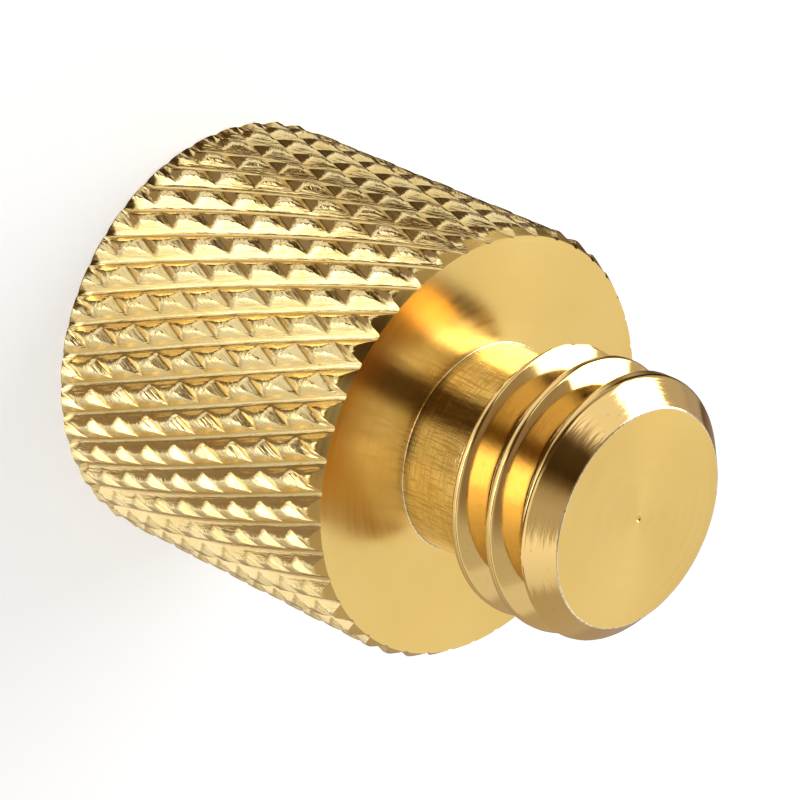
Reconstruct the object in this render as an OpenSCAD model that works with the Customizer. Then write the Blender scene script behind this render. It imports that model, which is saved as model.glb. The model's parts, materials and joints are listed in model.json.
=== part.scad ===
// Tripod screw adapter, turned from one bar: a knurled body with a threaded stud in front and a tapped hole behind.
// Millimetres. The part stands on its back face at z = 0, and the stud points up.

/* [Body] */
// Diameter over the tips of the knurl
body_d = 15.6; // [13:0.1:26]
// Length of the knurled body
body_len = 13.05; // [9:0.05:24]
// Width of the turned edge round the front end of the body
front_break = 0.28; // [0.15:0.01:0.5]
// Width of the lighter edge round its back end
back_break = 0.1; // [0.05:0.01:0.5]

/* [Knurl] */
// Grooves of one hand counted around the body
groove_count = 42; // [30:1:60]
// Lean of the grooves away from the axis, in degrees
groove_lean = 22; // [16:0.5:34]
// Height of a tooth from the crossing of two grooves to its tip
tooth_height = 0.36; // [0.12:0.02:0.5]
// How far behind the front face the first row of teeth is centred, as a share of the row spacing
first_row_share = 0.17; // [0.1:0.01:0.45]

/* [Stud] */
// Outside diameter of the stud's thread
stud_d = 9.5; // [6.3:0.05:12]
// Length of the stud from the front face to its flat end
stud_len = 7.35; // [5.5:0.05:16]
// Diameter of the plain neck as a share of the thread's
neck_share = 0.785; // [0.7:0.005:0.9]
// Length of the plain neck as a share of the stud's
neck_len_share = 0.345; // [0.15:0.005:0.4]
// Diameter of the flat end as a share of the thread's
end_share = 0.816; // [0.7:0.004:0.9]

/* [Tapped hole] */
// Diameter of the hole's wall, at the crests of the thread that is cut in it
hole_d = 5.1; // [4:0.05:5.6]
// Depth of the wall as a share of the body's length
hole_depth_share = 0.75; // [0.4:0.01:0.85]
// Diameter of the countersunk mouth as a share of the wall's
mouth_share = 1.3; // [1.1:0.02:1.5]
// Point angle of the drill, in degrees
drill_point = 118; // [90:2:140]

/* [Hidden] */
$fn = 96;
tip_r = body_d / 2;
root_r = tip_r - tooth_height;
front_rim_r = tip_r - front_break;
back_rim_r = tip_r - back_break;
// The blank stands clear of the tips, so that only its two ends and its two turned edges cut the teeth.
clear_r = tip_r + front_break;
front_z = body_len - (clear_r - front_rim_r);
back_z = clear_r - back_rim_r;
point_count = 2 * groove_count;
row_h = PI * body_d / point_count / tan(groove_lean);
first_z = body_len - first_row_share * row_h;
row_count = 1 + ceil((first_z + row_h / 4) / row_h);
stud_r = stud_d / 2;
neck_r = stud_r * neck_share;
end_r = stud_r * end_share;
top_z = body_len + stud_len;
neck_z = body_len + stud_len * neck_len_share;
thread_z = neck_z + (stud_r - neck_r) * tan(30);
chamfer_z = top_z - (stud_r - end_r);
hole_r = hole_d / 2;
mouth_r = hole_r * mouth_share;
mouth_z = mouth_r - hole_r;
hole_z = body_len * hole_depth_share;
point_z = hole_z + hole_r / tan(drill_point / 2);
brass = [0.86, 0.67, 0.32];

// Teeth of the knurl: rows of points that are crossings and tips by turns, with a straight groove along each
// line of crossings. The rows run past both ends of the body.
module knurl_teeth() {
    rows = [for (j = [0 : row_count]) first_z + row_h * (1 - j)];
    side = [
        for (j = [0 : row_count])
            for (i = [0 : point_count - 1])
                let (r = (i + j) % 2 == 0 ? root_r : tip_r, a = 360 * i / point_count)
                    [r * cos(a), r * sin(a), rows[j]]
    ];
    front = len(side);
    back = front + 1;
    points = concat(side, [[0, 0, rows[0]], [0, 0, rows[row_count]]]);
    walls = [
        for (j = [0 : row_count - 1])
            for (i = [0 : point_count - 1])
                let (
                    k = (i + 1) % point_count,
                    a = j * point_count + i,
                    b = j * point_count + k,
                    c = (j + 1) * point_count + k,
                    d = (j + 1) * point_count + i
                )
                    each (i + j) % 2 == 0 ? [[a, b, c], [a, c, d]] : [[a, b, d], [b, c, d]]
    ];
    last = row_count * point_count;
    ends = [
        for (i = [0 : point_count - 1])
            let (k = (i + 1) % point_count)
                each [[front, k, i], [back, last + i, last + k]]
    ];
    polyhedron(points = points, faces = concat(walls, ends), convexity = 6);
}

// Outline of the body as it is turned before and after knurling: two flat ends with a sloping edge each.
module body_blank() {
    rotate_extrude()
        polygon([
            [0, 0],
            [back_rim_r, 0],
            [clear_r, back_z],
            [clear_r, front_z],
            [front_rim_r, body_len],
            [0, body_len]
        ]);
}

// Neck, thread at its outside diameter and chamfered end, from inside the body upward.
module stud() {
    rotate_extrude()
        polygon([
            [0, point_z + (body_len - point_z) / 2],
            [neck_r, point_z + (body_len - point_z) / 2],
            [neck_r, neck_z],
            [stud_r, thread_z],
            [stud_r, chamfer_z],
            [end_r, top_z],
            [0, top_z]
        ]);
}

// Countersunk blind hole with the cone that its drill leaves.
module tapped_hole() {
    rotate_extrude()
        polygon([
            [0, -mouth_z],
            [mouth_r + mouth_z, -mouth_z],
            [hole_r, mouth_z],
            [hole_r, hole_z],
            [0, point_z]
        ]);
}

// The whole piece.
module screw_adapter() {
    color(brass)
        difference() {
            union() {
                intersection() {
                    knurl_teeth();
                    body_blank();
                }
                stud();
            }
            tapped_hole();
        }
}

screw_adapter();
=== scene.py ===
import json
import math

import bmesh
import bpy
import numpy as np
from mathutils import Matrix, Vector


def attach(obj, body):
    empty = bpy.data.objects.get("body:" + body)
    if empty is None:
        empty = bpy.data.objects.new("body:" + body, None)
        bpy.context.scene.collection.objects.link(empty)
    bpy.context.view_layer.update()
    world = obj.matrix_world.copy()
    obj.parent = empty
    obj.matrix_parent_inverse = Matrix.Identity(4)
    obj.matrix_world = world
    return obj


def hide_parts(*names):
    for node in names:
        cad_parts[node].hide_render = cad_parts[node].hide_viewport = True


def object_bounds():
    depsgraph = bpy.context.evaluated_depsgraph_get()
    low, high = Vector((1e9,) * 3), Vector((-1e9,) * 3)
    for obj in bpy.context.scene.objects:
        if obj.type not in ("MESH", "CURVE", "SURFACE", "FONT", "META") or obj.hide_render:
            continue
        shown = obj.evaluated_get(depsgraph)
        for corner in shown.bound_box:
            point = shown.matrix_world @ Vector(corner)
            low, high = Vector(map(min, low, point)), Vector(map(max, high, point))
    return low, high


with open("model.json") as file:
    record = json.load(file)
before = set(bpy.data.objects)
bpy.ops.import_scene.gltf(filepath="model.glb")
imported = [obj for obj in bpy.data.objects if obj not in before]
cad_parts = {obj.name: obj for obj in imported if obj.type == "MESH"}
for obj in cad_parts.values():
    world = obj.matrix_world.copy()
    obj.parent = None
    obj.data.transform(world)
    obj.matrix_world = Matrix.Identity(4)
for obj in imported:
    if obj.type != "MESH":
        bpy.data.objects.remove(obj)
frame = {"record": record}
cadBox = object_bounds()
mounts = {mount["name"]: mount["dims"] for mount in frame["record"]["mounts"]}
mm = 0.001
inch = 25.4
turn = 2 * math.pi
print("frame loaded, box in mm:", [[round(c / mm, 3) for c in corner] for corner in cadBox])

# Main sizes in mm: all but the stud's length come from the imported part
tipR = (cadBox[1].x - cadBox[0].x) / 2 / mm   # over the knurl's tips
totalLen = cadBox[1].z / mm
crestR = mounts["male_thread"]["r_mm"]
holeR = mounts["tapped_hole"]["r_mm"]
studLen = 7.35                                # front face to flat end
bodyLen = totalLen - studLen

# Skin of the part: rings of points in mm, joined into one closed mesh
skin = {"verts": [], "faces": [], "slots": []}
knurlSlot, facedSlot, turnedSlot, threadSlot = range(4)


def addPoints(radius, angle, z):  # any shape of arrays, gives the numbers of the new points
    radius, angle, z = np.broadcast_arrays(radius, angle, z)
    start = len(skin["verts"])
    points = np.stack([radius * np.cos(angle), radius * np.sin(angle), z], axis=-1)
    skin["verts"].extend(points.reshape(-1, 3).tolist())
    return start + np.arange(radius.size).reshape(radius.shape)


def addFace(slot, *corners):
    skin["faces"].append([int(c) for c in corners])
    skin["slots"].append(slot)


def columnAngles(columns):
    return turn * np.arange(columns) / columns


def addRing(radius, z, columns):
    return addPoints(radius, columnAngles(columns), z)


def bridge(first, second, slot):  # two rings with as many points
    count = len(first)
    for i in range(count):
        k = (i + 1) % count
        addFace(slot, first[i], first[k], second[k], second[i])


def climb(ring, steps, slot):  # joins a ring to the next ones, each given by radius and height
    for radius, z in steps:
        upper = addRing(radius, z, len(ring))
        bridge(ring, upper, slot)
        ring = upper
    return ring


def stepDown(fine, coarse, slot):  # a ring to one with fewer points
    ratio = len(fine) // len(coarse)
    half = ratio // 2
    for i in range(len(coarse)):
        near, far = coarse[i], coarse[(i + 1) % len(coarse)]
        for k in range(ratio):
            start = fine[i * ratio + k]
            end = fine[(i * ratio + k + 1) % len(fine)]
            addFace(slot, start, end, near if k < half else far)
        addFace(slot, fine[i * ratio + half], far, near)


def closeDisc(ring, z, slot):
    centre = addPoints(0.0, 0.0, z).item()
    for i in range(len(ring)):
        addFace(slot, ring[i], ring[(i + 1) % len(ring)], centre)


def softMax(a, b, width):
    near = np.maximum(width - np.abs(a - b), 0) / width
    return np.maximum(a, b) + near * near * width / 4


def softStep(x, low, high):
    t = np.clip((x - low) / (high - low), 0, 1)
    return t * t * (3 - 2 * t)


# Knurl
knurl = {
    "grooves": 42,            # of each hand
    "lean": math.radians(22),
    "firstRow": 0.2455,       # first tips behind the front face
    "first": {"depth": 0.31, "floor": 1 / 16, "wall": 5 / 16},   # half floor and wall: shares of the spacing
    "second": {"depth": 0.22, "floor": 0.0, "wall": 5 / 16},
    "bottom": 0.03,           # roundings: groove bottoms, edges between facets
    "ridge": 0.03,
    "front": (0.27, 0.43),    # turned edge of each end: off the tips, and how far back it reaches
    "back": (0.10, 0.14),
    "runOut": (0.25, 0.45),   # the grooves shallow so near the back face, to this share
    "perGroove": 16,          # mesh columns over one groove
    "clearRows": 3,           # no straight row lies so near an edge
    "bentRows": 4,            # rows between an edge and the straight rows
    "edgeRows": 4,            # rows on a turned edge
}
axialPitch = turn * tipR / knurl["grooves"] / math.tan(knurl["lean"])
knurlPitch = turn * tipR / knurl["grooves"] * math.cos(knurl["lean"])   # across the grooves
firstTipZ = bodyLen - knurl["firstRow"]
frontRimR = tipR - knurl["front"][0]


def grooveCounts(angle, z):  # how many grooves of each hand lie between here and the first tip
    around = knurl["grooves"] * angle / turn
    along = (firstTipZ - z) / axialPitch
    return around + along, around - along


def fromGroove(count):  # mm from the nearest groove's middle
    return np.abs(count - np.floor(count) - 0.5) * knurlPitch


def grooveDepth(count, cut):
    beside = softMax(fromGroove(count) - cut["floor"] * knurlPitch, 0.0, knurl["bottom"])
    return cut["depth"] * (1 - beside / (cut["wall"] * knurlPitch))


def bothDepths(angle, z):
    second, first = grooveCounts(angle, z)
    return grooveDepth(first, knurl["first"]), grooveDepth(second, knurl["second"])


def knurlR(angle, z):
    depth = softMax(*bothDepths(angle, z), knurl["ridge"])
    near, left = knurl["runOut"]
    fade = left + (1 - left) * softStep(z, 0.0, near)
    return tipR - fade * softMax(depth, 0.0, knurl["ridge"])


def edgeR(behind, edge):  # the turned edge, so far behind its end face
    off, reach = edge
    return tipR - off * (1 - np.minimum(behind / reach, 1))


def cutByEdge(angles, face, inward, edge):  # where the teeth come out of the edge
    halvings = 40
    near = np.zeros_like(angles)
    far = np.full_like(angles, edge[1])
    for _ in range(halvings):
        middle = (near + far) / 2
        outside = knurlR(angles, face + inward * middle) > edgeR(middle, edge)
        near = np.where(outside, middle, near)
        far = np.where(outside, far, middle)
    return near


def skinTeeth(teeth, angles, rows):  # each cell is split along the groove that it lies in
    columns = len(angles)
    firstDepth, secondDepth = bothDepths(angles + angles[1] / 2, (rows[:-1] + rows[1:]) / 2)
    alongFirst = firstDepth > secondDepth
    for j in range(len(rows) - 1):
        for i in range(columns):
            k = (i + 1) % columns
            a, b, c, d = teeth[j, i], teeth[j, k], teeth[j + 1, k], teeth[j + 1, i]
            if alongFirst[j, i]:
                addFace(knurlSlot, a, b, c)
                addFace(knurlSlot, a, c, d)
            else:
                addFace(knurlSlot, a, b, d)
                addFace(knurlSlot, b, c, d)


def buildKnurl():  # gives the rims of the front and back faces
    columns = knurl["grooves"] * knurl["perGroove"]
    angles = columnAngles(columns)
    rowStep = axialPitch / knurl["perGroove"]
    clear = knurl["front"][1] + knurl["clearRows"] * rowStep
    firstRow = math.ceil((firstTipZ - bodyLen + clear) / rowStep)
    lastRow = math.floor((firstTipZ - clear) / rowStep)
    middleZ = firstTipZ - rowStep * np.arange(firstRow, lastRow + 1)
    ends = ((bodyLen, -1, knurl["front"]), (0.0, 1, knurl["back"]))
    frontCut, backCut = (cutByEdge(angles, *end) for end in ends)
    frontZ, backZ = bodyLen - frontCut, backCut
    blend = np.linspace(0, 1, knurl["bentRows"] + 1)[:-1, None]
    rows = np.concatenate([
        frontZ + (middleZ[0] - frontZ) * blend,
        np.repeat(middleZ[:, None], columns, axis=1),
        backZ + (middleZ[-1] - backZ) * blend[::-1],
    ])
    teeth = addPoints(knurlR(angles, rows), angles, rows)
    skinTeeth(teeth, angles, rows)
    rims = []
    for ring, cut, (face, inward, edge) in zip((teeth[0], teeth[-1]), (frontCut, backCut), ends):
        for share in np.linspace(1, 0, knurl["edgeRows"] + 1)[1:]:
            z = face + inward * share * cut
            inner = addPoints(np.minimum(edgeR(share * cut, edge), knurlR(angles, z)), angles, z)
            bridge(inner, ring, facedSlot)
            ring = inner
        rims.append(ring)
    return rims


# Threads
flankSlope = 1 / math.tan(math.radians(30))   # radial drop per mm along the axis
flatCell = 1e-9                               # cells lower than this were clipped away at an end


def helix(zLow, zHigh, crestZ, pitch, phases, columns, radiusAt, slot):  # rows that climb with the thread
    angles = columnAngles(columns)
    lowest = math.floor((zLow - crestZ) / pitch) - 2
    highest = math.ceil((zHigh - crestZ) / pitch) + 1
    steps = np.concatenate([phases + n for n in range(lowest, highest + 1)])
    z = np.clip(crestZ + pitch * (steps[:, None] + angles / turn), zLow, zHigh)
    points = addPoints(radiusAt(angles, z), angles, z)
    last = len(steps) - 1
    for j in range(last):
        for i in range(columns):
            wrap = len(phases) if i == columns - 1 else 0  # the last column meets the first one turn higher
            k = (i + 1) % columns
            low, high = min(j + wrap, last), min(j + 1 + wrap, last)
            span = (z[j, i], z[low, k], z[high, k], z[j + 1, i])
            if max(span) - min(span) > flatCell:
                addFace(slot, points[j, i], points[low, k], points[high, k], points[j + 1, i])


def vPhases(flat, depth, pitch, counts):  # rows over one turn: crest, flank, root, flank
    crest = flat / 2 / pitch
    root = crest + depth / flankSlope / pitch
    ends = (-crest, crest, root, 1 - root, 1 - crest)
    return np.concatenate([np.linspace(ends[n], ends[n + 1], counts[n] + 1)[:-1] for n in range(4)])


def vDrop(offset, flat, depth, crestRound, rootRound):  # how far below the crest a V thread lies
    drop = flankSlope * (np.abs(offset) - flat / 2)
    drop = softMax(drop, 0.0, crestRound)
    return -softMax(-drop, -depth, rootRound)


# Stud
rimShare = 0.94   # first ring inside the rim of either end face
stud = {
    "neckR": 3.73,
    "neckLen": 2.54,
    "fillet": 0.05,           # where the neck meets the face
    "pitch": inch / 16,
    "firstCrest": 3.30,       # above the face, on the side at angle 0
    "crestFlat": 0.21,
    "threadDepth": 0.974,
    "rootRound": 0.12,
    "crestRound": 0.05,
    "runOut": (5.95, 6.5),    # the groove fades out between these heights
    "endR": 3.875,
    "endRound": 0.10,
    "coneRound": 0.08,        # where the chamfer meets the thread
    "pipR": 0.11,             # centre mark left by facing
    "pipDepth": 0.05,
    "pipFloor": (0.6, 0.8),   # last ring of the mark, as shares of its radius and depth
    "columns": 168,
    "rows": (6, 16, 8, 16),   # mesh rows on crest, flank, root, flank
    "neckRows": 6,
    "roundRows": 4,
    "faceRings": (0.66, 0.33, 0.0),   # mesh rings on the front face, shares of its width
    "endRings": (0.7, 0.4, 0.15),     # and on the flat end, shares of its radius
}
firstCrestZ = bodyLen + stud["firstCrest"]


def studR(angle, z):
    s = stud
    count = (z - firstCrestZ) / s["pitch"] - angle / turn
    nearest = np.floor(count + 0.5)
    offset = (count - nearest) * s["pitch"]
    grooveZ = firstCrestZ + s["pitch"] * (angle / turn + nearest + 0.5 * np.sign(offset))
    fade = 1 - softStep(grooveZ - bodyLen, *s["runOut"])
    drop = vDrop(offset, s["crestFlat"], s["threadDepth"], s["crestRound"], s["rootRound"])
    startCone = s["neckR"] + flankSlope * (z - bodyLen - s["neckLen"])
    endCone = s["endR"] + totalLen - z
    turned = np.minimum(np.minimum(crestR - fade * drop, startCone), crestR)
    return -softMax(-turned, -endCone, s["coneRound"])


def buildStud(rim):
    s = stud
    columns = s["columns"]
    outerR = rimShare * frontRimR
    ring = addRing(outerR, bodyLen, columns)
    stepDown(rim, ring, facedSlot)
    inner = s["neckR"] + s["fillet"]
    ring = climb(ring, [(inner + share * (outerR - inner), bodyLen) for share in s["faceRings"]], facedSlot)
    roundShares = [step / s["roundRows"] for step in range(1, s["roundRows"] + 1)]
    for share in roundShares:  # fillet
        lean = share * math.pi / 2
        radius = inner - s["fillet"] * math.sin(lean)
        ring = climb(ring, [(radius, bodyLen + s["fillet"] * (1 - math.cos(lean)))], turnedSlot)
    neckZ = bodyLen + np.linspace(s["fillet"], s["neckLen"], s["neckRows"] + 1)[1:]
    climb(ring, [(s["neckR"], z) for z in neckZ], turnedSlot)
    tangent = s["endRound"] * math.tan(math.pi / 8)
    topCone = totalLen - tangent * math.sin(math.pi / 4)
    phases = vPhases(s["crestFlat"], s["threadDepth"], s["pitch"], s["rows"])
    helix(neckZ[-1], topCone, firstCrestZ, s["pitch"], phases, columns, studR, threadSlot)
    ring = addRing(s["endR"] + totalLen - topCone, topCone, columns)
    for share in roundShares:  # round of the end's edge
        lean = math.pi / 4 * (1 - share)
        radius = s["endR"] - tangent + s["endRound"] * math.sin(lean)
        ring = climb(ring, [(radius, totalLen - s["endRound"] * (1 - math.cos(lean)))], turnedSlot)
    ring = climb(ring, [(share * s["endR"], totalLen) for share in s["endRings"]], facedSlot)
    floorShare, depthShare = s["pipFloor"]
    pip = [(s["pipR"], totalLen), (floorShare * s["pipR"], totalLen - depthShare * s["pipDepth"])]
    closeDisc(climb(ring, pip, facedSlot), totalLen - s["pipDepth"], facedSlot)


# Tapped hole
hole = {
    "mouthShare": 1.3,
    "pitch": inch / 20,
    "crestFlat": inch / 20 / 8,
    "threadDepth": 0.56,
    "round": 0.04,
    "threadEnd": 9.0,
    "wallEnd": 9.7875,
    "drillPoint": math.radians(118),
    "columns": 84,
    "rows": (2, 5, 3, 5),     # mesh rows on crest, flank, root, flank
    "faceRing": 0.6,          # mesh ring on the back face, a share of the rim
}


def holeWallR(angle, z):
    h = hole
    count = z / h["pitch"] - angle / turn
    offset = (count - np.floor(count + 0.5)) * h["pitch"]
    fade = 1 - softStep(z, h["threadEnd"] - h["pitch"], h["threadEnd"])
    major = holeR + h["threadDepth"]
    thread = major - vDrop(offset, h["crestFlat"], h["threadDepth"], h["round"], h["round"])
    wall = holeR + fade * (thread - holeR)
    return np.maximum(wall, holeR * h["mouthShare"] - z)


def buildHole(rim):
    h = hole
    columns = h["columns"]
    outer = addRing(rimShare * frontRimR, 0.0, 2 * columns)
    stepDown(rim, outer, facedSlot)
    inner = addRing(h["faceRing"] * frontRimR, 0.0, columns)
    stepDown(outer, inner, facedSlot)
    climb(inner, [(holeR * h["mouthShare"], 0.0)], facedSlot)
    phases = vPhases(h["crestFlat"], h["threadDepth"], h["pitch"], h["rows"])
    helix(0.0, h["wallEnd"], 0.0, h["pitch"], phases, columns, holeWallR, threadSlot)
    wallEnd = addRing(holeR, h["wallEnd"], columns)
    closeDisc(wallEnd, h["wallEnd"] + holeR / math.tan(h["drillPoint"] / 2), turnedSlot)


# Whole screw
joining = {"weld": 0.0002, "sharpFrom": math.radians(38)}   # mm, and the angle of edges that stay sharp


def buildScrew():
    frontRim, backRim = buildKnurl()
    buildStud(frontRim)
    buildHole(backRim)
    mesh = bpy.data.meshes.new("screwAdapter")
    mesh.from_pydata((np.array(skin["verts"]) * mm).tolist(), [], skin["faces"])
    mesh.polygons.foreach_set("material_index", skin["slots"])
    shape = bmesh.new()
    shape.from_mesh(mesh)
    bmesh.ops.remove_doubles(shape, verts=shape.verts, dist=joining["weld"] * mm)
    bmesh.ops.recalc_face_normals(shape, faces=shape.faces)
    loose = [v for v in shape.verts if not v.link_faces]
    bmesh.ops.delete(shape, geom=loose, context="VERTS")
    openEdges = sum(1 for e in shape.edges if len(e.link_faces) != 2)
    triangles = sum(len(f.verts) - 2 for f in shape.faces)
    shape.to_mesh(mesh)
    shape.free()
    mesh.shade_smooth()
    mesh.set_sharp_from_angle(angle=joining["sharpFrom"])
    print("screw adapter:", triangles, "triangles,", openEdges, "open edges")
    piece = bpy.data.objects.new("screwAdapter", mesh)
    bpy.context.scene.collection.objects.link(piece)
    return piece


# Node helpers
def newNode(tree, kind, **settings):
    node = tree.nodes.new(kind)
    for key, value in settings.items():
        setattr(node, key, value)
    return node


def plug(tree, source, target):
    if isinstance(source, (int, float, tuple)):
        target.default_value = source
    else:
        tree.links.new(source, target)


def calc(tree, operation, *values):
    node = newNode(tree, "ShaderNodeMath", operation=operation)
    for value, socket in zip(values, node.inputs):
        plug(tree, value, socket)
    return node.outputs[0]


def spread(tree, value, fromLow, fromHigh, toLow, toHigh, smooth=False):
    kind = "SMOOTHSTEP" if smooth else "LINEAR"
    node = newNode(tree, "ShaderNodeMapRange", interpolation_type=kind)
    for source, socket in zip((value, fromLow, fromHigh, toLow, toHigh), node.inputs):
        plug(tree, source, socket)
    return node.outputs[0]


def mixColour(tree, factor, first, second):
    node = newNode(tree, "ShaderNodeMix", data_type="RGBA")
    plug(tree, factor, node.inputs[0])
    plug(tree, first, node.inputs[6])   # the colour sockets
    plug(tree, second, node.inputs[7])
    return node.outputs[2]


def tintWith(tree, mask, share, first, second):  # the second colour where the mask is, up to a share
    return mixColour(tree, calc(tree, "MULTIPLY", mask, share), first, second)


def noise(tree, vector, scale, detail, roughness):
    node = newNode(tree, "ShaderNodeTexNoise")
    plug(tree, vector, node.inputs["Vector"])
    node.inputs["Scale"].default_value = scale
    node.inputs["Detail"].default_value = detail
    node.inputs["Roughness"].default_value = roughness
    return node.outputs[0]


def splitXyz(tree, vector):
    node = newNode(tree, "ShaderNodeSeparateXYZ")
    plug(tree, vector, node.inputs[0])
    return node.outputs


def joinXyz(tree, *values):
    node = newNode(tree, "ShaderNodeCombineXYZ")
    for value, socket in zip(values, node.inputs):
        plug(tree, value, socket)
    return node.outputs[0]


def fromAxis(tree, x, y):
    squares = calc(tree, "ADD", calc(tree, "MULTIPLY", x, x), calc(tree, "MULTIPLY", y, y))
    return calc(tree, "SQRT", squares)


def newGroup(name, inputs, outputs):
    group = bpy.data.node_groups.new(name, "ShaderNodeTree")
    for socketName, kind, default in inputs:
        socket = group.interface.new_socket(socketName, in_out="INPUT", socket_type="NodeSocket" + kind)
        if default is not None:
            socket.default_value = default
    for socketName, kind in outputs:
        group.interface.new_socket(socketName, in_out="OUTPUT", socket_type="NodeSocket" + kind)
    return group, group.nodes.new("NodeGroupInput").outputs, group.nodes.new("NodeGroupOutput").inputs


def useGroup(tree, group, **values):
    node = newNode(tree, "ShaderNodeGroup", node_tree=group)
    for key, value in values.items():
        plug(tree, value, node.inputs[key])
    return node.outputs


# Lathe lines: fine rings that run round the axis, spaced along it and along the radius
latheLook = {
    "core": 0.05,               # mm from the axis, where the lines lose their direction
    "fine": (1.0, 3.0, 0.6),    # noise: scale, detail, roughness
    "broad": (0.35, 2.0, 0.5),
    "streak": (0.35, 0.65),     # this range of the broad noise is stretched to 0 and 1
}


def makeLatheLines():
    tree, given, result = newGroup(
        "latheLines",
        [("Place", "Vector", None), ("Along", "Float", 1.0), ("Outward", "Float", 1.0),
         ("PerMm", "Float", 12.0), ("Patches", "Float", 1.5)],
        [("Height", "Float"), ("Streak", "Float")])
    x, y, z = splitXyz(tree, given["Place"])
    radius = fromAxis(tree, x, y)
    along = calc(tree, "MULTIPLY", z, given["Along"])
    outward = calc(tree, "MULTIPLY", radius, given["Outward"])
    reach = calc(tree, "MULTIPLY", calc(tree, "ADD", along, outward), 1 / mm)
    rings = calc(tree, "MULTIPLY", reach, given["PerMm"])
    safeR = calc(tree, "MAXIMUM", radius, latheLook["core"] * mm)
    sides = [calc(tree, "MULTIPLY", calc(tree, "DIVIDE", side, safeR), given["Patches"]) for side in (x, y)]
    where = joinXyz(tree, rings, *sides)
    broad = noise(tree, where, *latheLook["broad"])
    plug(tree, noise(tree, where, *latheLook["fine"]), result["Height"])
    plug(tree, spread(tree, broad, *latheLook["streak"], 0.0, 1.0), result["Streak"])
    return tree


# Handling: soft smudges, a scatter of tiny dark specks and a fine grain
handlingLook = {
    "smudge": (1.0, 3.0, 0.55),   # noise: scale, detail, roughness
    "smudgeRange": (0.35, 0.65),
    "speck": (16.0, 1.0, 0.5),
    "speckRange": (0.70, 0.76),
    "grain": (30.0, 2.0, 0.6),
}


def makeHandling():
    tree, given, result = newGroup(
        "handling",
        [("Place", "Vector", None), ("Size", "Float", 2.5)],
        [("Smudge", "Float"), ("Speck", "Float"), ("Grain", "Float")])
    scaled = newNode(tree, "ShaderNodeVectorMath", operation="SCALE")
    plug(tree, given["Place"], scaled.inputs[0])
    plug(tree, calc(tree, "DIVIDE", 1 / mm, given["Size"]), scaled.inputs["Scale"])
    place = scaled.outputs[0]
    smudge = noise(tree, place, *handlingLook["smudge"])
    speck = noise(tree, place, *handlingLook["speck"])
    plug(tree, spread(tree, smudge, *handlingLook["smudgeRange"], 0.0, 1.0, True), result["Smudge"])
    plug(tree, spread(tree, speck, *handlingLook["speckRange"], 0.0, 1.0), result["Speck"])
    plug(tree, noise(tree, place, *handlingLook["grain"]), result["Grain"])
    return tree


latheLines = makeLatheLines()
handling = makeHandling()


# Finishes
brass = {
    "clean": (0.83, 0.58, 0.19, 1.0),
    "warm": (0.78, 0.50, 0.13, 1.0),
    # paler brass of the knurl: partly a burnished finish, partly a painted highlight that makes the facets'
    # glints cream
    "pale": (0.90, 0.72, 0.36, 1.0),
    # painted highlight: the turned brass is made nearly white, so that its colour stands for whitish
    # highlights
    "neck": (0.94, 0.83, 0.60, 1.0),
    "thread": (0.82, 0.56, 0.22, 1.0),
    # dark brown: real specks of tarnish, and painted shade in the hollows of the lathe lines and the knurl's
    # grooves
    "tarnish": (0.42, 0.27, 0.07, 1.0),
}


def startMaterial(name):
    material = bpy.data.materials.new(name)
    material.use_nodes = True
    tree = material.node_tree
    shader = tree.nodes["Principled BSDF"]
    shader.inputs["Metallic"].default_value = 1.0
    place = newNode(tree, "ShaderNodeTexCoord").outputs["Object"]
    return material, tree, shader, place


def addLook(tree, shader, tint, roughness, height, finish):
    plug(tree, tint, shader.inputs["Base Color"])
    plug(tree, roughness, shader.inputs["Roughness"])
    bump = newNode(tree, "ShaderNodeBump")
    bump.inputs["Distance"].default_value = finish["lineHeight"] * mm
    bump.inputs["Strength"].default_value = finish["lineStrength"]
    plug(tree, height, bump.inputs["Height"])
    plug(tree, bump.outputs[0], shader.inputs["Normal"])


facedFinish = {   # front face, flat end, back face and turned edges
    "perMm": 16.0,
    "patches": 1.2,
    "lineHeight": 0.0002,
    "lineStrength": 0.6,
    "roughness": (0.17, 0.22),
    "grain": 0.80,            # blurs across the turning lines
    "grainTurn": 0.25,
    "smudgeSize": 4.0,
    "smudge": 0.35,
}


def makeFacedBrass():
    f = facedFinish
    material, tree, shader, place = startMaterial("facedBrass")
    lines = useGroup(tree, latheLines, Place=place, Along=0.0, Outward=1.0,
                     PerMm=f["perMm"], Patches=f["patches"])
    marks = useGroup(tree, handling, Place=place, Size=f["smudgeSize"])
    tint = tintWith(tree, marks["Smudge"], f["smudge"], brass["clean"], brass["warm"])
    roughness = spread(tree, lines["Streak"], 0.0, 1.0, *f["roughness"])
    addLook(tree, shader, tint, roughness, lines["Height"], f)
    roundAxis = newNode(tree, "ShaderNodeTangent", direction_type="RADIAL", axis="Z")
    plug(tree, roundAxis.outputs[0], shader.inputs["Tangent"])
    shader.inputs["Anisotropic"].default_value = f["grain"]
    shader.inputs["Anisotropic Rotation"].default_value = f["grainTurn"]
    return material


turnedFinish = {   # neck, round of the flat end's edge and floor of the hole
    "perMm": 18.0,
    "outward": 0.4,
    "patches": 3.0,
    "chatter": 45.0,          # marks across the lines, with this much of the lines' run along the axis
    "chatterAlong": 0.1,
    "lineHeight": 0.006,
    "lineStrength": 0.8,
    "roughness": (0.07, 0.14),
    "smudgeSize": 2.0,
    "smudge": 0.4,
    "ringSoil": (0.50, 0.38, 0.0, 0.40),    # from this height down to the next, painted shade comes in to a share: the hollows of the lines are painted dark
    "crossSoil": (0.50, 0.40, 0.0, 0.52),
}


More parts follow.
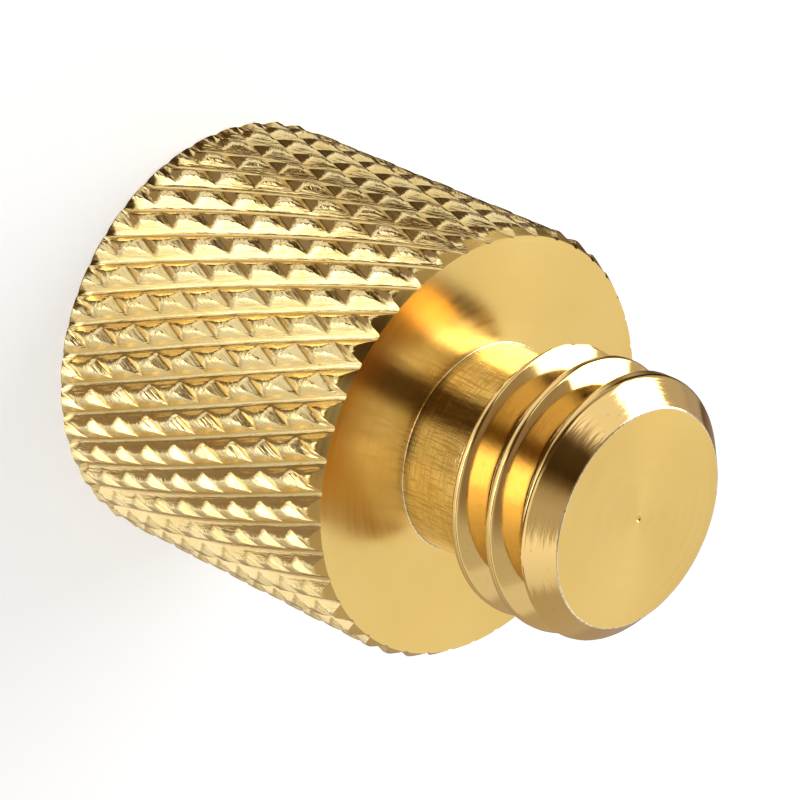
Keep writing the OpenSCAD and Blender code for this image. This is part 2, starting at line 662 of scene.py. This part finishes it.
def makeTurnedBrass():
    f = turnedFinish
    material, tree, shader, place = startMaterial("turnedBrass")
    lines = useGroup(tree, latheLines, Place=place, Along=1.0, Outward=f["outward"],
                     PerMm=f["perMm"], Patches=f["patches"])
    chatter = useGroup(tree, latheLines, Place=place, Along=f["chatterAlong"], Outward=0.0,
                       Patches=f["chatter"])
    marks = useGroup(tree, handling, Place=place, Size=f["smudgeSize"])
    # painted highlight: the pale turned brass, broken by smudges of the clean brass
    tint = tintWith(tree, marks["Smudge"], f["smudge"], brass["neck"], brass["clean"])
    # painted shade: the hollows of the lathe rings and of the chatter marks are painted dark brown, which
    # dims the turned surfaces
    rings = spread(tree, lines["Height"], *f["ringSoil"])
    cross = spread(tree, chatter["Height"], *f["crossSoil"])
    tint = mixColour(tree, calc(tree, "MAXIMUM", rings, cross), tint, brass["tarnish"])
    roughness = spread(tree, lines["Streak"], 0.0, 1.0, *f["roughness"])
    addLook(tree, shader, tint, roughness, calc(tree, "ADD", lines["Height"], chatter["Height"]), f)
    return material


threadFinish = {
    "perMm": 13.0,
    "outward": 0.6,
    "patches": 2.0,
    "lineHeight": 0.010,
    "lineStrength": 0.7,
    "roughness": (0.06, 0.13),
    "smudgeSize": 2.5,
    "smudge": 0.4,
    "speck": 0.3,
}


def makeThreadBrass():
    f = threadFinish
    material, tree, shader, place = startMaterial("threadBrass")
    lines = useGroup(tree, latheLines, Place=place, Along=1.0, Outward=f["outward"],
                     PerMm=f["perMm"], Patches=f["patches"])
    marks = useGroup(tree, handling, Place=place, Size=f["smudgeSize"])
    tint = tintWith(tree, marks["Smudge"], f["smudge"], brass["thread"], brass["clean"])
    tint = tintWith(tree, marks["Speck"], f["speck"], tint, brass["tarnish"])
    roughness = spread(tree, lines["Streak"], 0.0, 1.0, *f["roughness"])
    addLook(tree, shader, tint, roughness, lines["Height"], f)
    return material


knurlFinish = {   # distances from a groove's middle are shares of the spacing
    "lines": 9.0,             # marks across one groove, and how fast they change along it and round the body
    "linesAlong": 0.7,
    "linesRound": 5.0,
    "lineNoise": (1.0, 3.0, 0.6),
    "lineRange": (0.3, 0.7),
    "lineHeight": 0.035,
    "lineStrength": 0.8,
    "roughness": (0.08, 0.17),
    "topBand": (0.06, 0.01),  # mm below the tips, where they are crushed
    "topSize": 0.16,
    "topHeight": 0.008,
    "firstWalls": (0.24, 0.32, 1.0, 0.0),   # the first hand's marks give way to the second's
    "smudgeSize": 1.6,
    "smudge": 0.45,
    "dirt": (0.3, 0.7, 0.0, 0.40),          # painted shade: darker, warmer brass in grain patches, on the first hand's walls
    "speck": 0.5,
    "secondSoil": (0.015, 0.05),            # painted shade in the second hand's grooves, away from the first's
    "awayFromFirst": (0.20, 0.28, 0.0, 0.7),
    "floorEdge": 0.07,                      # painted shade along the edges of the first hand's floors
    "floorSoil": (0.01, 0.04, 0.35, 0.0),
}


def strokes(tree, across, z, angle):  # marks that run along one hand of grooves
    f = knurlFinish
    where = joinXyz(
        tree,
        calc(tree, "MULTIPLY", across, f["lines"]),
        calc(tree, "MULTIPLY", z, f["linesAlong"] / mm),
        calc(tree, "MULTIPLY", angle, f["linesRound"]))
    return noise(tree, where, *f["lineNoise"])


def besideGroove(tree, count):
    return calc(tree, "ABSOLUTE", calc(tree, "SUBTRACT", calc(tree, "FRACT", count), 0.5))


# painted shade: the second hand's grooves and the edges of the first hand's floors are painted dark
def groovePaintedShade(tree, fromFirst, fromSecond):
    f = knurlFinish
    away = spread(tree, fromFirst, *f["awayFromFirst"], True)
    inSecond = spread(tree, fromSecond, *f["secondSoil"], away, 0.0, True)
    besideFloor = calc(tree, "ABSOLUTE", calc(tree, "SUBTRACT", fromFirst, f["floorEdge"]))
    return calc(tree, "MAXIMUM", inSecond, spread(tree, besideFloor, *f["floorSoil"], True))


def makeKnurlBrass():
    f = knurlFinish
    material, tree, shader, place = startMaterial("knurlBrass")
    x, y, z = splitXyz(tree, place)
    angle = calc(tree, "ARCTAN2", y, x)
    around = calc(tree, "MULTIPLY", angle, knurl["grooves"] / turn)
    along = calc(tree, "MULTIPLY", calc(tree, "SUBTRACT", firstTipZ * mm, z), 1 / (axialPitch * mm))
    first = calc(tree, "SUBTRACT", around, along)
    second = calc(tree, "ADD", around, along)
    fromFirst = besideGroove(tree, first)
    onFirst = spread(tree, fromFirst, *f["firstWalls"], True)
    onSecond = calc(tree, "SUBTRACT", 1.0, onFirst)
    firstLines = calc(tree, "MULTIPLY", onFirst, strokes(tree, first, z, angle))
    secondLines = calc(tree, "MULTIPLY", onSecond, strokes(tree, second, z, angle))
    lines = calc(tree, "ADD", firstLines, secondLines)
    marks = useGroup(tree, handling, Place=place, Size=f["smudgeSize"])
    # the knurl's paler brass, partly painted highlight, broken by smudges of the clean brass
    tint = tintWith(tree, marks["Smudge"], f["smudge"], brass["pale"], brass["clean"])
    # painted shade: the first hand's walls go towards the darker, warmer brass in grain patches
    tint = tintWith(tree, onFirst, spread(tree, marks["Grain"], *f["dirt"]), tint, brass["warm"])
    # painted shade in the grooves, joined with real dark specks, darkens the knurl's brass
    specksAndShade = groovePaintedShade(tree, fromFirst, besideGroove(tree, second))
    specksAndShade = calc(tree, "MAXIMUM", calc(tree, "MULTIPLY", marks["Speck"], f["speck"]), specksAndShade)
    tint = mixColour(tree, specksAndShade, tint, brass["tarnish"])
    low, high = ((tipR - below) * mm for below in f["topBand"])
    top = spread(tree, fromAxis(tree, x, y), low, high, 0.0, 1.0, True)
    crumple = useGroup(tree, handling, Place=place, Size=f["topSize"])
    crushed = calc(tree, "MULTIPLY", top, crumple["Smudge"])
    height = calc(tree, "ADD", lines, calc(tree, "MULTIPLY", crushed, f["topHeight"] / f["lineHeight"]))
    roughness = spread(tree, lines, *f["lineRange"], *f["roughness"])
    addLook(tree, shader, tint, roughness, height, f)
    return material


screw = buildScrew()
for makeFinish in (makeKnurlBrass, makeFacedBrass, makeTurnedBrass, makeThreadBrass):
    screw.data.materials.append(makeFinish())   # in the order of the skin's slots
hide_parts("screw_adapter")
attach(screw, "root")
print("finishes:", [material.name for material in screw.data.materials])

# Camera, at the photo's angle and distance
photoCamera = {
    "azimuth": math.radians(0.646),
    "elevation": math.radians(40.091),
    "roll": math.radians(-114.574),
    "distance": 152.296,      # mm, from the aim
    "aim": (0.0, -0.297, 8.887),
    "focalPx": 4387.24,
    "imagePx": 800,
    "sensor": 36.0,
    "clip": (10, 10000),
}


def fromPart(azimuth, elevation):  # direction from the part, azimuth counted from the camera's side
    flat = math.cos(elevation)
    return Vector((flat * math.cos(azimuth), flat * math.sin(azimuth), math.sin(elevation)))


def makeCamera():
    c = photoCamera
    back = fromPart(c["azimuth"], c["elevation"])
    level = (-back).cross(Vector((0, 0, 1))).normalized()
    upright = level.cross(-back)
    up = math.cos(c["roll"]) * upright + math.sin(c["roll"]) * level
    right = up.cross(back)
    data = bpy.data.cameras.new("photoCamera")
    data.sensor_fit = "HORIZONTAL"
    data.sensor_width = c["sensor"]
    data.lens = c["sensor"] * c["focalPx"] / c["imagePx"]
    data.clip_start, data.clip_end = (limit * mm for limit in c["clip"])
    camera = bpy.data.objects.new("photoCamera", data)
    place = (Vector(c["aim"]) + c["distance"] * back) * mm
    camera.matrix_world = Matrix.Translation(place) @ Matrix((right, up, back)).transposed().to_4x4()
    bpy.context.scene.collection.objects.link(camera)
    bpy.context.scene.camera = camera


makeCamera()
print("camera placed")

# Studio
litHeight = 10   # mm above the floor, where the lights point
softBoxes = {    # azimuth, elevation in degrees, distance, width, height in mm, brightness
    "keyBox": (-119, 31, 300, 260, 190, 2.6),
    "backBox": (180, 38, 320, 400, 340, 0.23),
}


def faceThePart(thing, azimuth, elevation, distance):
    outward = fromPart(math.radians(azimuth), math.radians(elevation))
    thing.location = Vector((0, 0, litHeight * mm)) + outward * distance * mm
    thing.rotation_mode = "QUATERNION"
    thing.rotation_quaternion = outward.to_track_quat("Z", "Y")


def makeSoftBox(name, azimuth, elevation, distance, width, height, brightness):
    data = bpy.data.lights.new(name, "AREA")
    data.shape = "RECTANGLE"
    data.size = width * mm
    data.size_y = height * mm
    data.energy = brightness * math.pi * data.size * data.size_y
    box = bpy.data.objects.new(name, data)
    box.visible_camera = False
    bpy.context.scene.collection.objects.link(box)
    faceThePart(box, azimuth, elevation, distance)


for name, values in softBoxes.items():
    makeSoftBox(name, *values)


def startSheet(name, width, height):  # flat sheet in mm with an empty material
    corners = [(i * width / 2 * mm, j * height / 2 * mm, 0) for i, j in ((-1, -1), (1, -1), (1, 1), (-1, 1))]
    mesh = bpy.data.meshes.new(name)
    mesh.from_pydata(corners, [], [(0, 1, 2, 3)])
    material = bpy.data.materials.new(name)
    material.use_nodes = True
    material.node_tree.nodes.remove(material.node_tree.nodes["Principled BSDF"])
    mesh.materials.append(material)
    sheet = bpy.data.objects.new(name, mesh)
    bpy.context.scene.collection.objects.link(sheet)
    return sheet, material.node_tree, material.node_tree.nodes["Material Output"].inputs["Surface"]


floorLook = {
    "side": 3000,
    "colour": (0.86, 0.86, 0.86, 1.0),
    "lift": 0.52,             # brings a lit floor to white
}


def makeFloor():
    floor, tree, surface = startSheet("floor", floorLook["side"], floorLook["side"])
    matt = newNode(tree, "ShaderNodeBsdfDiffuse")
    matt.inputs["Color"].default_value = floorLook["colour"]
    path = newNode(tree, "ShaderNodeLightPath").outputs
    mirrored = calc(tree, "MAXIMUM", path["Is Glossy Ray"], path["Is Transmission Ray"])
    seen = calc(tree, "MAXIMUM", path["Is Camera Ray"], mirrored)
    glow = newNode(tree, "ShaderNodeEmission")
    plug(tree, calc(tree, "MULTIPLY", seen, floorLook["lift"]), glow.inputs["Strength"])
    both = newNode(tree, "ShaderNodeAddShader")
    plug(tree, matt.outputs[0], both.inputs[0])
    plug(tree, glow.outputs[0], both.inputs[1])
    plug(tree, both.outputs[0], surface)
    floor.visible_glossy = False   # the room's lower half stands in for it


makeFloor()

keyCard = {"behind": 12, "brightness": 2.4}   # white card behind the key box, that only reflections see


def makeKeyCard():
    azimuth, elevation, distance, width, height, _ = softBoxes["keyBox"]
    card, tree, surface = startSheet("keyCard", width, height)
    glow = newNode(tree, "ShaderNodeEmission")
    glow.inputs["Strength"].default_value = keyCard["brightness"]
    plug(tree, glow.outputs[0], surface)
    faceThePart(card, azimuth, elevation, distance + keyCard["behind"])
    card.visible_camera = False
    card.visible_diffuse = False
    card.visible_shadow = False
    card.visible_transmission = False
    card.visible_volume_scatter = False


makeKeyCard()

room = {   # greys by the angle from the camera's side in degrees, as metal sees them
    "light": 0.38,                # grey that lights the part and floor
    "brightest": 3.2,
    "brown": (0.70, 0.6, 0.22),   # greys below this go brown, down to these shares of green and blue
    "foot": [
        (-180, 0.06), (-120, 0.06), (-60, 0.12), (-40, 0.25), (50, 0.35), (72, 1.2), (110, 1.2),
        (140, 0.40), (180, 0.06)],
    "inner": [
        (-180, 0.30), (-164, 0.30), (-158, 0.20), (-150, 0.10), (-142, 0.20), (-132, 0.44), (-123, 0.56),
        (-114, 0.35), (-106, 0.25), (-98, 0.50), (-88, 1.05), (-56, 1.10), (-40, 1.05), (0, 1.08),
        (40, 0.97), (60, 0.76), (115, 0.50), (150, 0.40), (180, 0.30)],
    "outer": [
        (-180, 0.35), (-166, 0.25), (-156, 0.06), (-138, 0.04), (-128, 0.04), (-92, 0.04), (-84, 0.25),
        (-74, 0.92), (-44, 0.95), (-32, 0.65), (-26, 0.35), (-22, 0.18), (-12, 0.18), (-6, 0.70),
        (0, 2.2), (6, 3.2), (26, 3.2), (36, 1.8), (52, 1.3), (64, 0.95), (90, 0.80), (130, 0.50),
        (165, 0.45), (180, 0.35)],
    "low": [
        (-180, 0.35), (-150, 0.50), (-138, 0.40), (-128, 0.04), (-92, 0.04), (-80, 0.75), (-70, 0.98),
        (-58, 0.90), (-52, 0.70), (-46, 0.30), (-38, 0.10), (-16, 0.08), (-9, 0.45), (-3, 1.3),
        (40, 1.4), (52, 1.15), (64, 0.95), (90, 0.80), (130, 0.50), (165, 0.45), (180, 0.35)],
    "eye": [
        (-180, 0.60), (-100, 0.55), (-60, 0.40), (-45, 0.10), (-35, 0.06), (36, 0.08), (48, 0.35),
        (85, 0.50), (180, 0.60)],
    "upper": [
        (-180, 0.70), (-165, 0.80), (-150, 1.0), (-140, 0.95), (-100, 1.0), (-70, 1.05), (-60, 1.2),
        (-52, 1.5), (-44, 0.95), (-38, 0.18), (-33, 0.10), (-9, 0.11), (-1, 0.50), (5, 1.05),
        (38, 1.05), (50, 1.25), (60, 1.2), (100, 0.85), (150, 0.82), (165, 0.78), (180, 0.70)],
    "high": [
        (-180, 0.70), (-140, 0.50), (-100, 0.38), (-70, 0.40), (-50, 0.35), (-38, 0.08), (-8, 0.05),
        (2, 0.15), (15, 0.45), (30, 0.55), (60, 0.55), (160, 0.70), (180, 0.70)],
    "overhead": [(-180, 0.30), (180, 0.30)],
    "joins": [    # each band gives way to the next between these elevations
        ("foot", None), ("inner", (-54, -46)), ("outer", (-36, -31)), ("low", (-15.6, -13.6)),
        ("eye", (-6, 0)), ("upper", (25, 31)), ("high", (43, 47)), ("overhead", (60, 76))],
}


def roomColour(grey):
    limit, green, blue = room["brown"]
    pure = min(grey / limit, 1)
    return (grey, grey * (green + pure * (1 - green)), grey * (blue + pure * (1 - blue)))


def greysRound(tree, share, stops):
    ramp = newNode(tree, "ShaderNodeValToRGB")
    marks = ramp.color_ramp.elements
    for _ in stops[2:]:
        marks.new(0.5)
    for mark, (azimuth, grey) in zip(marks, stops):
        mark.position = (azimuth + 180) / 360
        mark.color = [c / room["brightest"] for c in roomColour(grey)] + [1]
    plug(tree, share, ramp.inputs[0])
    return ramp.outputs[0]


def makeRoom():
    world = bpy.data.worlds.new("room")
    world.use_nodes = True
    tree = world.node_tree
    x, y, z = splitXyz(tree, newNode(tree, "ShaderNodeTexCoord").outputs["Generated"])
    share = spread(tree, calc(tree, "ARCTAN2", y, x), -math.pi, math.pi, 0.0, 1.0)
    seen = None
    for name, join in room["joins"]:
        band = greysRound(tree, share, room[name])
        if join:
            low, high = (math.sin(math.radians(elevation)) for elevation in join)
            band = mixColour(tree, spread(tree, z, low, high, 0.0, 1.0, True), seen, band)
        seen = band
    light = room["light"] / room["brightest"]
    glossy = newNode(tree, "ShaderNodeLightPath").outputs["Is Glossy Ray"]
    colour = mixColour(tree, glossy, (light, light, light, 1), seen)
    plug(tree, colour, tree.nodes["Background"].inputs["Color"])
    tree.nodes["Background"].inputs["Strength"].default_value = room["brightest"]
    bpy.context.scene.world = world


makeRoom()
bpy.context.scene.view_settings.view_transform = "Standard"
print("studio lit")
